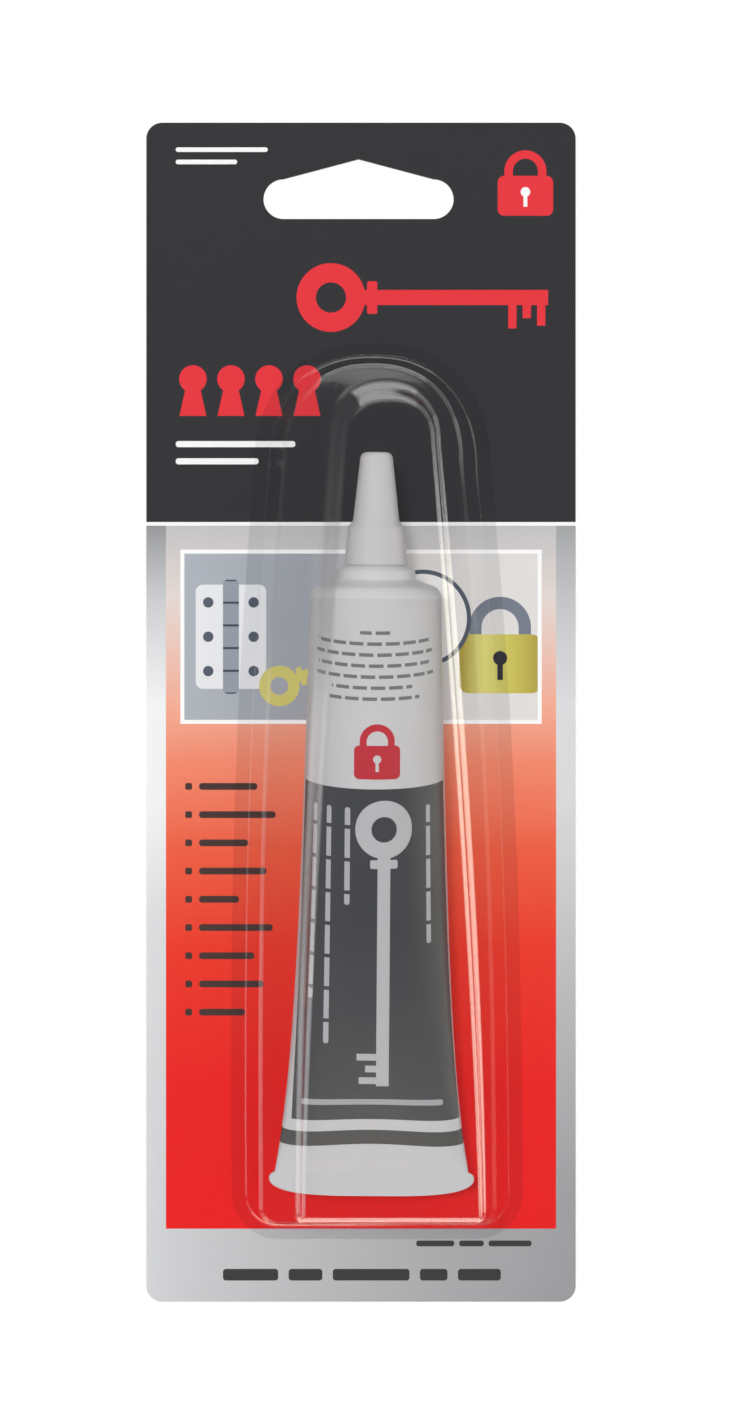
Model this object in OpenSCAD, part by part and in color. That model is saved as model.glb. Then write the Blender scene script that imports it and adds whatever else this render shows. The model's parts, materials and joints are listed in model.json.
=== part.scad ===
// Carded squeeze tube of dry lock powder.
// The pack hangs upright: X is to the right, Z is up, and the printed side faces -Y.
// The origin is the centre of the peg that carries it, on the back of the card.

/* [Card] */
// Width of the backing card
card_w = 70; // [66:1:90]
// Height of the backing card
card_h = 192.2; // [188:1:230]
// Thickness of the board
card_t = 0.6; // [0.4:0.1:1.2]
// Radius of the card's corners
card_corner_r = 2.6; // [1:0.2:5]
// How far the card's middle lies right of the peg slot's
card_shift = 0.4; // [0:0.1:1.5]

/* [Peg slot] */
// Radius of the peg that the slot is made for
peg_r = 3; // [2:0.25:3.25]
// Board left between the top of the slot and the card's top edge
slot_drop = 5.95; // [4:0.25:8]
// Overall width of the slot
slot_w = 31; // [27:0.5:33]
// Radius of the slot's round ends
slot_end_r = 3.25; // [2.5:0.25:3.5]
// Rise of the slot's roof, from its round ends to its peak
slot_rise = 3.25; // [2:0.25:4]

/* [Tube] */
// Radius of the round end of the sleeve
body_r = 10.5; // [9.5:0.05:10.8]
// Length of the sleeve from the shoulder to the seal
body_len = 92.5; // [85:0.5:95]
// Wall of the sleeve
body_wall = 0.5; // [0.4:0.05:0.8]
// Overall width of the crimped seal
seal_w = 33; // [31:0.2:34]
// Height of the crimped seal
seal_h = 3.8; // [3:0.1:4.5]
// Thickness of the crimped seal
seal_t = 1.1; // [0.9:0.05:1.4]
// How far each ear of the seal stands out beside the sleeve
ear_out = 0.9; // [0.5:0.05:1.2]
// Lean of the tube towards the front, in degrees
tube_lean = 3; // [1:0.25:4]
// How far the tube's top tips to the right, in degrees
tube_tip = 0.4; // [0:0.1:1]
// How far the tube lies right of the card's middle
tube_shift = 2.35; // [1.5:0.05:3]
// Distance from the card's top edge down to the tip of the cap
tip_drop = 54.65; // [50:0.5:57]

/* [Nozzle head] */
// Height of the shoulder
shoulder_h = 2.85; // [2.6:0.05:3.5]
// Radius of the shoulder's rounded edge
shoulder_edge_r = 2; // [1.5:0.1:2.4]
// Wall of the shoulder
shoulder_wall = 1.2; // [0.9:0.1:1.5]
// Radius of the collar that the cap stands on
collar_r = 6.3; // [6:0.05:6.8]
// Height of the collar
collar_h = 2.25; // [1.8:0.05:3]
// Fall of the collar's sloping rim
rim_fall = 0.7; // [0.3:0.05:1]
// Radius of the straight neck inside the cap
neck_r = 3.6; // [3.4:0.05:3.8]
// Height of the straight neck
neck_h = 5.4; // [4.5:0.1:5.6]
// Radius of the spout where it leaves the neck
spout_base_r = 2.5; // [2.2:0.05:2.55]
// Radius of the spout at its tip
spout_tip_r = 1.35; // [1.2:0.05:1.45]
// Radius of the outlet through the spout
outlet_r = 0.7; // [0.5:0.05:0.8]
// Radius of the passage inside the neck
passage_r = 2.2; // [1.8:0.05:2.4]

/* [Cap] */
// Height of the cap's skirt
skirt_h = 7.05; // [6.8:0.05:8]
// Radius of the skirt at its mouth
skirt_mouth_r = 5.05; // [4.9:0.05:5.6]
// Radius of the skirt at its top
skirt_top_r = 4.5; // [4.4:0.05:4.9]
// Height of the slope between the skirt and the taper
skirt_slope = 0.95; // [0.5:0.05:1]
// Height of the cap's taper above the skirt
taper_h = 11; // [10:0.1:13]
// Radius of the taper where it leaves the skirt
taper_base_r = 3.7; // [3.6:0.05:4]
// Radius of the taper near its tip
taper_tip_r = 2.6; // [2.5:0.05:2.9]
// Wall of the cap
cap_wall = 0.8; // [0.7:0.05:0.85]

/* [Shell] */
// Thickness of the clear film
film_t = 0.3; // [0.2:0.05:0.4]
// Width of the sealing flange
flange_w = 2.6; // [1.5:0.1:3]
// Width of the shell's foot where its arch begins
shell_top_w = 33.4; // [32:0.2:36]
// Width of the shell's foot at the bottom
shell_bottom_w = 42.2; // [41.8:0.2:43.4]
// Height of the shell's arch
arch_h = 18.6; // [16:0.2:21]
// Radius of the shell's bottom corners
shell_corner_r = 4.9; // [3.6:0.1:6]
// How far the shell's bottom lies right of the card's middle
shell_shift = 2.7; // [2.2:0.1:3]
// How far the shell's top lies left of its bottom
shell_slant = 0.8; // [0:0.1:1]
// How far the outer wall leans in from foot to step
wall_lean = 2.4; // [1.8:0.1:2.8]
// Room from the tip of the cap to the shell's foot at the top
head_room = 16.1; // [13:0.1:18]
// Room from the seal to the shell's foot at the bottom
tail_room = 5.4; // [4.4:0.1:6]
// Width of the front rib where its arch begins
rib_top_w = 16.8; // [16.4:0.2:18]
// Width of the front rib at the bottom
rib_bottom_w = 29.8; // [28:0.2:30.2]
// Height of the rib's arch
rib_arch_h = 9.4; // [7:0.1:11]
// Radius of the rib's bottom corners
rib_corner_r = 1.6; // [1.2:0.1:2.2]
// Distance from the top of the shell's foot to the top of the rib's foot
rib_drop = 5.7; // [5:0.1:7]
// Distance from the step's bottom edge up to the rib's
rib_rise = 0.7; // [0.4:0.1:1.5]
// How far the rib's wall leans in at its top
rib_top_lean = 1.8; // [1.4:0.1:2.4]
// How far the rib's wall leans in at each side, where its arch begins
rib_side_lean = 1.2; // [1:0.1:1.6]
// How far the rib's wall leans in at each side of its bottom
rib_corner_lean = 0.8; // [0.6:0.1:1.2]
// How far the rib's wall leans in at its foot
rib_foot_lean = 0.5; // [0.4:0.1:2]
// How far the rib lies right of the shell's bottom at its top
rib_shift_top = 1.05; // [0.8:0.05:1.4]
// How far the rib lies right of the shell's bottom at its bottom
rib_shift_bottom = 1.65; // [1.2:0.05:2]
// How far the rib's face lies right of the rib's foot at its top
face_shift_top = 0.75; // [0:0.05:0.8]
// How far the rib's face lies right of the rib's foot at its bottom
face_shift_bottom = 0.2; // [0:0.05:0.4]
// Radius of the bends in the film
bend_r = 1; // [0.6:0.1:1.4]

/* [Clearances] */
// Gap between the sleeve's back and the card
rest_gap = 0.3; // [0.2:0.05:0.5]
// Gap between the sleeve's front and the shell
front_gap = 0.5; // [0.4:0.05:1]
// Gap all round between the neck and the cap's bore
cap_fit = 0.05; // [0.03:0.01:0.1]
// Gap between the spout's tip and the cap
tip_gap = 0.6; // [0.4:0.05:1]
// Gap between the powder and the sleeve's wall
powder_gap = 0.15; // [0.1:0.05:0.3]

/* [Hidden] */
// Number of sides of the turned pieces
$fn = 64;
// How far a cutting shape runs past what it cuts
overrun = 1;

// Mixes two values or points
function mix(a, b, share) = a + (b - a) * share;

// Levels on the card, from the peg at zero
slot_peak_z = peg_r;
card_top_z = slot_peak_z + slot_drop;
slot_end_z = slot_peak_z - slot_rise - slot_end_r;
tip_z = card_top_z - tip_drop;

// The tube's own frame starts in the middle of the sleeve's top ring
head_len = shoulder_h + collar_h + skirt_h + taper_h;
tube_x = card_shift + tube_shift;
tube_z = tip_z - head_len * cos(tube_lean);
// The sleeve widens slowly over its length and faster near its seal
slow_widen_share = 0.58;
slow_widen_power = 1.2;
fast_widen_power = 6;
flatten_power = 2.8;
flatten_end_power = 0.85;
// The sleeve's sections grow squarer over its last stretch, which begins at this share
square_from_share = 0.8;
round_section_power = 2;
square_section_power = 5;
flat_half = seal_w / 2 - ear_out;

// Half the sleeve's width and half its depth, at a share of its length below the shoulder
function half_width(s) = mix(body_r, flat_half,
    mix(pow(s, fast_widen_power), pow(s, slow_widen_power), slow_widen_share));
function half_depth(s) = body_r * pow(1 - pow(s, flatten_power), flatten_end_power)
    + seal_t / 2 * s;
function section_power(s) = round_section_power + (square_section_power - round_section_power)
    * pow(max(0, (s - square_from_share) / (1 - square_from_share)), 2);

// The leaning sleeve bulges backwards most somewhere along its length, and rests there
back_reach = max([for (i = [0 : 40]) let (s = i / 40)
    half_depth(s) * cos(tube_lean) + s * body_len * sin(tube_lean)]);
tube_depth = rest_gap + back_reach;

// Depths of the shell in front of the card
step_share = 0.72;
step_depth = tube_depth + step_share * body_r;
rib_depth = tube_depth + body_r * cos(tube_lean) + front_gap + film_t;

// Places of the shell on the card
shell_x = card_shift + shell_shift;
rib_top_x = shell_x + rib_shift_top;
rib_bottom_x = shell_x + rib_shift_bottom;
shell_top_z = tip_z + head_room;
seal_foot_z = tube_z - (body_len + seal_h) * cos(tube_lean);
shell_bottom_z = seal_foot_z - tail_room;

// Points along each part of a shell outline
arch_steps = 28;
side_steps = 9;
corner_steps = 5;
foot_steps = 3;
bend_steps = 3;
// Powers of the outlines' arches and sides
arch_power = 2.3;
side_power = 2.5;
rib_side_power = 1.75;
face_side_power = 1.34;
// An outline that is drawn in keeps at least this share of its corner radius
corner_keep_share = 0.3;
// A bend takes at most this share of the way to the next corner of the film
bend_reach_share = 0.45;
// Points closer than this share of a bend's radius count as one
same_place_share = 0.001;

// Raises the size of a value to a power and keeps its sign
function signed_pow(v, p) = sign(v) * pow(abs(v), p);

// An outline is [middle at top, middle at bottom, half width at top, half width at bottom,
// top, bottom, height of arch, corner radius, power of its sides]
function inset(o, d) = [o[0], o[1], o[2] - d, o[3] - d, o[4] - d, o[5] + d, o[6] - d,
    max(o[7] - d, corner_keep_share * o[7]), o[8]];
function spring_z(o) = o[4] - o[6];
function corner_z(o) = o[5] + o[7];
function middle_at(o, s) = mix(o[0], o[1], s);
function half_at(o, s) = o[3] - (o[3] - o[2]) * pow(1 - s, o[8]);

// Points of an outline in the card's plane, from the right end of the arch over its top
function outline_points(o) = concat(
    [for (i = [0 : arch_steps]) let (a = 180 * i / arch_steps)
        [o[0] + o[2] * signed_pow(cos(a), 2 / arch_power),
        spring_z(o) + o[6] * pow(abs(sin(a)), 2 / arch_power)]],
    [for (i = [1 : side_steps]) let (s = i / side_steps)
        [middle_at(o, s) - half_at(o, s), mix(spring_z(o), corner_z(o), s)]],
    [for (i = [1 : corner_steps]) let (a = 180 + 90 * i / corner_steps)
        [o[1] - o[3] + o[7] + o[7] * cos(a), corner_z(o) + o[7] * sin(a)]],
    [for (i = [1 : foot_steps])
        [mix(o[1] - o[3] + o[7], o[1] + o[3] - o[7], i / foot_steps), o[5]]],
    [for (i = [1 : corner_steps]) let (a = 270 + 90 * i / corner_steps)
        [o[1] + o[3] - o[7] + o[7] * cos(a), corner_z(o) + o[7] * sin(a)]],
    [for (i = [1 : side_steps - 1]) let (s = 1 - i / side_steps)
        [middle_at(o, s) + half_at(o, s), mix(spring_z(o), corner_z(o), s)]]);

// An outline stood at a depth in front of the card
function ring_at(o, depth) = [for (p = outline_points(o)) [p[0], -card_t - depth, p[1]]];

// Rings that round the bend at ring b, between rings a and c
function step_towards(b, other, r) = let (d = norm(other - b))
    b + (other - b) / max(d, same_place_share * r) * min(r, bend_reach_share * d);
function bend_rings(a, b, c, r) = [for (k = [0 : bend_steps]) let (t = k / bend_steps)
    [for (j = [0 : len(b) - 1])
        let (from = step_towards(b[j], a[j], r), to = step_towards(b[j], c[j], r))
        mix(mix(from, b[j], t), mix(b[j], to, t), t)]];

foot_outline = [shell_x - shell_slant, shell_x, shell_top_w / 2, shell_bottom_w / 2,
    shell_top_z, shell_bottom_z, arch_h, shell_corner_r, side_power];
flange_outline = inset(foot_outline, -flange_w);
step_outline = inset(foot_outline, wall_lean);
rib_outline = [rib_top_x, rib_bottom_x, rib_top_w / 2, rib_bottom_w / 2,
    shell_top_z - rib_drop, shell_bottom_z + wall_lean + rib_rise, rib_arch_h, rib_corner_r,
    rib_side_power];
face_outline = [rib_top_x + face_shift_top, rib_bottom_x + face_shift_bottom,
    rib_top_w / 2 - rib_side_lean, rib_bottom_w / 2 - rib_corner_lean,
    rib_outline[4] - rib_top_lean, rib_outline[5] + rib_foot_lean,
    rib_arch_h - rib_top_lean, corner_keep_share * rib_corner_r, face_side_power];
front_outline = inset(face_outline, 2 * bend_r);

// Sum of one coordinate over a list of points, and the middle of a ring
function total(list, k, i = 0) = i < len(list) ? list[i][k] + total(list, k, i + 1) : 0;
function ring_middle(ring) = [for (k = [0 : 2]) total(ring, k) / len(ring)];

// A closed solid through a row of rings, with a fan over its first and its last ring
module skin(rings) {
    n = len(rings[0]);
    m = len(rings);
    points = concat([for (r = rings) each r],
        [ring_middle(rings[0]), ring_middle(rings[m - 1])]);
    walls = [for (i = [0 : m - 2], j = [0 : n - 1])
        let (a = i * n + j, b = i * n + (j + 1) % n, c = b + n, d = a + n)
        each [[a, b, c], [a, c, d]]];
    first_fan = [for (j = [0 : n - 1]) [(j + 1) % n, j, m * n]];
    last_fan = [for (j = [0 : n - 1]) [(m - 1) * n + j, (m - 1) * n + (j + 1) % n, m * n + 1]];
    polyhedron(points, concat(walls, first_fan, last_fan));
}

// Places a shape of the tube where the tube lies in the pack
module on_tube() {
    translate([tube_x, -card_t - tube_depth, tube_z])
        rotate([tube_lean, tube_tip, 0])
            children();
}

// A flat rectangle with round corners, around its own middle
module round_rect(w, h, r) {
    square([w - 2 * r, h], center = true);
    square([w, h - 2 * r], center = true);
    for (x = [-1, 1], z = [-1, 1])
        translate([x * (w / 2 - r), z * (h / 2 - r)])
            circle(r);
}

// The peg slot: a long round-ended hole with a low roof that brings the peg to its middle
module slot_shape() {
    half = slot_w / 2 - slot_end_r;
    translate([0, slot_end_z])
        square([2 * half, 2 * slot_end_r], center = true);
    for (x = [-1, 1])
        translate([x * half, slot_end_z])
            circle(slot_end_r);
    polygon([[-half, slot_end_z], [half, slot_end_z],
        [half, slot_end_z + slot_end_r], [0, slot_peak_z], [-half, slot_end_z + slot_end_r]]);
}

module backing_card() {
    color([0.9, 0.15, 0.15])
        difference() {
            translate([card_shift, 0, card_top_z - card_h / 2])
                rotate([90, 0, 0])
                    linear_extrude(card_t)
                        round_rect(card_w, card_h, card_corner_r);
            translate([0, overrun, 0])
                rotate([90, 0, 0])
                    linear_extrude(card_t + 2 * overrun)
                        slot_shape();
        }
}

module blister() {
    foot = ring_at(foot_outline, film_t);
    step = ring_at(step_outline, step_depth);
    rib = ring_at(rib_outline, step_depth);
    face = ring_at(face_outline, rib_depth);
    front = ring_at(front_outline, rib_depth);
    foot_in = ring_at(inset(foot_outline, film_t), 0);
    step_in = ring_at(inset(step_outline, film_t), step_depth - film_t);
    rib_in = ring_at(inset(rib_outline, film_t), step_depth - film_t);
    face_in = ring_at(inset(face_outline, film_t), rib_depth - film_t);
    front_in = ring_at(front_outline, rib_depth - film_t);
    flange_top = ring_at(flange_outline, film_t);
    color([0.85, 0.9, 0.95, 0.35])
        skin(concat(
            [front_in],
            bend_rings(front_in, face_in, rib_in, bend_r),
            bend_rings(face_in, rib_in, step_in, bend_r),
            bend_rings(rib_in, step_in, foot_in, bend_r),
            [foot_in, ring_at(flange_outline, 0), flange_top],
            bend_rings(flange_top, foot, step, bend_r),
            bend_rings(foot, step, rib, bend_r),
            bend_rings(step, rib, face, bend_r),
            bend_rings(rib, face, front, bend_r),
            [front]));
}

// Rings of the sleeve
sleeve_steps = 22;
sleeve_sides = 48;
seal_steps = 6;
// Rings crowd towards the seal, where the sleeve flattens fastest
crowd_power = 1.6;
function crowd(i, count) = 1 - pow(1 - i / count, crowd_power);

// A section of the sleeve: half width, half depth, level and power
function section(w, d, z, power) = [for (j = [0 : sleeve_sides - 1])
    let (a = 360 * j / sleeve_sides)
    [w * signed_pow(cos(a), 2 / power), d * signed_pow(sin(a), 2 / power), z]];
function sleeve_ring(s, shrink) = section(half_width(s) - shrink, half_depth(s) - shrink,
    -s * body_len, section_power(s));

// The seal has an ear at each side of its top, and a smiling edge below them.
// Its sections are given by their shares of the ear's height and of the edge's fall
ear_share = 0.3;
ear_power = 3.5;
ear_levels = [0.15, 0.4, 1];
smile_power = 4;
smile_cut_share = 0.99;
function seal_section(half, k) = section(half, seal_t / 2, -body_len - k * seal_h,
    square_section_power);
function ear_ring(e) = seal_section(seal_w / 2 - ear_out * pow(1 - e, ear_power),
    ear_share * e);
function smile_ring(t) = seal_section(
    seal_w / 2 * pow(1 - pow(smile_cut_share * t, 2), 1 / smile_power),
    mix(ear_share, 1, t));

// The hollow of the sleeve ends a little above the seal
hollow_end_share = 0.965;
powder_from_share = 0.36;
powder_to_share = 0.95;

module tube_sleeve() {
    inner = [for (i = [sleeve_steps : -1 : 0])
        sleeve_ring(hollow_end_share * crowd(i, sleeve_steps), body_wall)];
    outer = [for (i = [0 : sleeve_steps]) sleeve_ring(crowd(i, sleeve_steps), 0)];
    ears = [for (e = ear_levels) ear_ring(e)];
    smile = [for (i = [1 : seal_steps]) smile_ring(sin(90 * i / seal_steps))];
    color([0.8, 0.8, 0.8])
        on_tube()
            skin(concat(inner, outer, ears, smile));
}

module graphite_powder() {
    shrink = body_wall + powder_gap;
    color([0.2, 0.2, 0.22])
        on_tube()
            skin([for (i = [0 : sleeve_steps])
                sleeve_ring(mix(powder_from_share, powder_to_share, i / sleeve_steps),
                    shrink)]);
}

// Levels of the head above the sleeve
collar_z = shoulder_h;
neck_z = collar_z + collar_h;
spout_z = neck_z + neck_h;
cap_len = skirt_h + taper_h;
spout_tip_z = neck_z + cap_len - cap_wall - tip_gap;
shoulder_arc_end = 70;

module nozzle_head() {
    edge_r = min(shoulder_edge_r, body_r - collar_r);
    color([0.84, 0.84, 0.84])
        on_tube()
            rotate_extrude()
                polygon(concat(
                    [for (i = [0 : 5]) let (a = shoulder_arc_end * i / 5)
                        [body_r - edge_r + edge_r * cos(a), edge_r * sin(a)]],
                    [[collar_r, collar_z], [collar_r, neck_z - rim_fall],
                    [skirt_mouth_r, neck_z], [neck_r, neck_z],
                    [neck_r, spout_z], [spout_base_r, spout_z],
                    [spout_tip_r, spout_tip_z], [outlet_r, spout_tip_z],
                    [outlet_r, spout_z], [passage_r, neck_z],
                    [passage_r, collar_z - shoulder_wall / 2],
                    [body_r - edge_r, max(0, edge_r - shoulder_wall)],
                    [body_r - shoulder_wall, 0]]));
}

// Rounding at the tip of the cap
tip_round_r = 1.1;
bore_r = neck_r + cap_fit;
bore_h = neck_h + tip_gap;
cavity_tip_r = taper_tip_r - cap_wall;

module cap() {
    color([0.92, 0.92, 0.92])
        on_tube()
            translate([0, 0, neck_z])
                rotate_extrude()
                    polygon(concat(
                        [[bore_r, 0], [skirt_mouth_r, 0],
                        [skirt_top_r, skirt_h - skirt_slope], [taper_base_r, skirt_h]],
                        [for (i = [0 : 5]) let (a = 90 * i / 5)
                            [taper_tip_r - tip_round_r + tip_round_r * cos(a),
                            cap_len - tip_round_r + tip_round_r * sin(a)]],
                        [[0, cap_len], [0, cap_len - cap_wall],
                        [cavity_tip_r, cap_len - cap_wall],
                        [taper_base_r - cap_wall, bore_h], [bore_r, bore_h]]));
}

backing_card();
blister();
tube_sleeve();
nozzle_head();
cap();
graphite_powder();
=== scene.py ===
import json
import math
from typing import NamedTuple

import bmesh
import bpy
import numpy as np
from bpy.props import FloatProperty, FloatVectorProperty, IntProperty, PointerProperty
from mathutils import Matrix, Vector


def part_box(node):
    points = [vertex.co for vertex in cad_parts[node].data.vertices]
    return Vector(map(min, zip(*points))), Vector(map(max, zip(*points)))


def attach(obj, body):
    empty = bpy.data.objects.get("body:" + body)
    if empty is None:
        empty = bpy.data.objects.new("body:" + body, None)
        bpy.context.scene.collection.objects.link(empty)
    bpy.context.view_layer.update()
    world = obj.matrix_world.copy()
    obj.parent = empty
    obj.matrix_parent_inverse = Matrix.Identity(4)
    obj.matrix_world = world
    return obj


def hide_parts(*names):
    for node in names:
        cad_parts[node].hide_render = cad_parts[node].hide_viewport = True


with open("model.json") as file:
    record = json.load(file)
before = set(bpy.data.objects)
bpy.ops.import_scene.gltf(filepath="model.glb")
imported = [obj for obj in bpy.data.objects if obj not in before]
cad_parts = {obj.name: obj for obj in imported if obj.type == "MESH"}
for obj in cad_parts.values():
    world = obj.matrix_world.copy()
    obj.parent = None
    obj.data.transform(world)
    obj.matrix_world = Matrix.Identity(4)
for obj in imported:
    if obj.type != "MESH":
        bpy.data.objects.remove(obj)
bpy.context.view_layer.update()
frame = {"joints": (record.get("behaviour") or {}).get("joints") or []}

bl_info = {
    "name": "Carded powder tube",
    "version": (1, 0, 0),
    "blender": (4, 5, 0),
    "location": "3D View > Sidebar > Powder tube",
    "description": "Surfaces and finishes of a squeeze tube of dry powder on its hanging card",
    "category": "Object",
}

MM = 0.001
WHITE = (1.0, 1.0, 1.0)
WARM = (1.0, 0.95, 0.78)

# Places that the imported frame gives
card_low, card_high = (np.array(corner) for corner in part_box("backing_card"))
shell_low, shell_high = (np.array(corner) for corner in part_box("blister"))
head_low, head_high = (np.array(corner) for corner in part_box("nozzle_head"))
sleeve_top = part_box("tube_sleeve")[1][2]
pull_axis = next(joint["axis"] for joint in frame["joints"] if joint["name"] == "cap_pull")

card_middle_x = (card_low[0] + card_high[0]) / 2
card_front_y = card_low[1]
shell_middle_x = (shell_low[0] + shell_high[0]) / 2
tube_lean = math.asin(-pull_axis[1])
tube_tip = math.atan2(pull_axis[0], pull_axis[2])
body_radius = (head_high[0] - head_low[0]) / 2
tube_start = np.array([
    (head_low[0] + head_high[0]) / 2,
    (head_low[1] + head_high[1]) / 2,
    sleeve_top - body_radius * math.sin(tube_lean)])


def srgb(red, green, blue):
    """Linear colour of a screen colour that is given as 0 to 255."""
    screen = np.array([red, green, blue]) / 255
    low = screen / 12.92
    high = ((screen + 0.055) / 1.055) ** 2.4
    return tuple(float(c) for c in np.where(screen <= 0.04045, low, high))


# Settings that a user would change

def size_setting(name, description, millimetres):
    """A length, given in millimetres."""
    return FloatProperty(
        name=name, description=description, default=millimetres * MM, unit="LENGTH")


def colour_setting(name, description, *screen):
    """A colour, given as a screen colour."""
    return FloatVectorProperty(
        name=name, description=description, default=srgb(*screen), subtype="COLOR")


def light_setting(name, description, level):
    """A level of light."""
    return FloatProperty(name=name, description=description, default=level, min=0)


class CardSettings(bpy.types.PropertyGroup):
    """Sizes and colours of the card's print"""
    header_height: size_setting("Header height", "Height of the dark header", 65.1)
    rule_height: size_setting("Rule height", "Height of the white rule under the header", 0.6)
    panel_side: size_setting("Panel side", "Silver border beside the red panel", 3.2)
    panel_foot: size_setting("Panel foot", "Silver border below the red panel", 11.9)
    picture_side: size_setting(
        "Picture side", "Distance from the card's edge to the picture", 5.55)
    picture_drop: size_setting("Picture drop", "Distance from the header to the picture", 4.5)
    picture_height: size_setting(
        "Picture height", "Height of the picture with its border", 28.4)
    picture_border: size_setting("Picture border", "Width of the picture's white border", 0.65)
    header_colour: colour_setting("Header colour", "Ink of the header", 53, 53, 56)
    red_colour: colour_setting("Red", "Ink of the panel's lower half", 231, 37, 39)
    mark_colour: colour_setting("Header red", "Ink of the header's red shapes", 231, 58, 66)
    board_colour: colour_setting(
        "Board", "Bare board on the back and the cut edge", 214, 208, 196)


class ShellSettings(bpy.types.PropertyGroup):
    """Sizes of the clear shell"""
    film: size_setting("Film", "Thickness of the film", 0.3)
    flange: size_setting("Flange", "Width of the sealing flange", 2.6)
    top_width: size_setting("Top width", "Width of the foot where its arch begins", 33.4)
    slant: size_setting("Slant", "How far the shell's top lies left of its bottom", 0.8)
    arch: size_setting("Arch", "Height of the foot's arch", 18.6)
    corner: size_setting("Corner", "Radius of the bottom corners", 4.9)
    lean: size_setting("Wall lean", "How far the outer wall leans in", 2.4)
    step: size_setting("Step", "Height of the step above the card's front", 19.82)
    rib_top: size_setting("Rib top width", "Width of the rib where its arch begins", 16.8)
    rib_bottom: size_setting("Rib bottom width", "Width of the rib at its bottom", 28.95)
    rib_arch: size_setting("Rib arch", "Height of the rib's arch", 9.4)
    rib_corner: size_setting("Rib corner", "Radius of the rib's bottom corners", 1.6)
    rib_drop: size_setting("Rib drop", "From the top of the foot to the top of the rib", 5.65)
    rib_rise: size_setting("Rib rise", "From the step's bottom edge up to the rib's", 0.35)
    top_lean: size_setting("Rib top lean", "How far the rib's wall leans in at its top", 2.6)
    side_lean: size_setting(
        "Rib side lean", "How far each side leans in where the arch begins", 1.2)
    corner_lean: size_setting(
        "Rib corner lean", "How far each side leans in at its bottom", 0.2)
    foot_lean: size_setting("Rib foot lean", "How far the rib's wall leans in at its foot", 0.5)
    rib_shift_top: size_setting("Rib shift at top", "How far right the rib's top lies", 1.05)
    rib_shift_bottom: size_setting(
        "Rib shift at bottom", "How far right the rib's bottom lies", 2.05)
    face_shift_top: size_setting(
        "Face shift at top", "How far right of the rib its face begins", 0.75)
    face_shift_bottom: size_setting(
        "Face shift at bottom", "How far right of the rib its face ends", 0.2)
    step_slope: size_setting(
        "Step slope", "How far the step falls back at the top of its arch", 0.45)
    bend: size_setting("Bend", "Radius of the bends along the rib", 1.35)
    edge_bend: size_setting(
        "Edge bend", "Radius of the bends at the foot and the step's edge", 0.9)
    tint: FloatVectorProperty(
        name="Film tint", description="What one skin of the film lets through",
        subtype="COLOR", default=(0.963, 0.964, 0.966))


class SleeveSettings(bpy.types.PropertyGroup):
    """Sizes and colours of the printed sleeve"""
    length: size_setting("Length", "From the shoulder to the seal", 92.5)
    wall: size_setting("Wall", "Wall of the sleeve", 0.5)
    seal_width: size_setting("Seal width", "Width of the crimped seal", 33)
    seal_height: size_setting("Seal height", "Height of the crimped seal", 3.8)
    seal_thickness: size_setting("Seal thickness", "Thickness of the crimped seal", 1.1)
    ear: size_setting("Ear", "How far the seal stands out beside the sleeve", 0.9)
    plastic: colour_setting("Plastic", "Bare white of the sleeve", 213, 212, 213)
    badge: colour_setting("Badge ink", "Red ink of the small padlock", 200, 55, 66)


class HeadSettings(bpy.types.PropertyGroup):
    """Sizes and colours of the nozzle head and the cap"""
    shoulder: size_setting("Shoulder", "Height of the shoulder", 2.85)
    shoulder_edge: size_setting("Shoulder edge", "Radius of the shoulder's edge", 2)
    collar_radius: size_setting("Collar radius", "Radius of the collar", 6.3)
    collar: size_setting("Collar", "Height of the collar", 2.25)
    rim_fall: size_setting("Rim fall", "Fall of the collar's sloping rim", 0.7)
    neck_radius: size_setting("Neck radius", "Radius of the neck", 3.6)
    neck: size_setting("Neck", "Height of the neck", 5.4)
    skirt: size_setting("Skirt", "Height of the cap's skirt", 7.05)
    skirt_mouth: size_setting("Skirt mouth", "Radius of the skirt at its mouth", 5.05)
    skirt_top: size_setting("Skirt top", "Radius of the skirt at its top", 4.5)
    skirt_slope: size_setting("Skirt slope", "Height of the slope above the skirt", 0.95)
    taper: size_setting("Taper", "Height of the cap's taper", 11)
    taper_base: size_setting("Taper base", "Radius of the taper at its base", 3.7)
    taper_tip: size_setting("Taper tip", "Radius of the taper at its tip", 2.6)
    head_plastic: colour_setting("Head plastic", "Colour of the head", 221, 220, 220)
    cap_plastic: colour_setting("Cap plastic", "Colour of the cap", 213, 211, 211)


class StageSettings(bpy.types.PropertyGroup):
    """Camera distance and light levels"""
    distance: size_setting("Camera distance", "From the card's front to the camera", 600)
    view_height: size_setting("View height", "Height of the view at the card's front", 232.3)
    view_shift: size_setting(
        "View shift", "How far the view's middle lies right of the card's", 0.65)
    view_rise: size_setting("View rise", "Level of the view's middle", -87.2)
    floor_level: size_setting("Floor level", "Level of the floor below the hanging card", -300)
    sky: light_setting("Sky", "Even light from all round", 0.11)
    key: light_setting("Key", "Power of the lamp beside the camera", 3.55)
    side: light_setting("Sides", "Power of each lamp at the side, which throws no shadow", 2.42)
    over: light_setting("Over", "Power of the lamp above, which throws no shadow", 2.0)
    back: light_setting("Back", "Power of the lamp behind the card", 8.5)
    gloss: light_setting("Gloss", "Brightness of the panels that the film's bends mirror", 2.2)


class PackSettings(bpy.types.PropertyGroup):
    """All settings of the carded tube"""
    card: PointerProperty(type=CardSettings)
    shell: PointerProperty(type=ShellSettings)
    sleeve: PointerProperty(type=SleeveSettings)
    head: PointerProperty(type=HeadSettings)
    stage: PointerProperty(type=StageSettings)
    detail: IntProperty(
        name="Detail", description="Points round each turned piece", default=128, min=24)


# Shader nodes

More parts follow.
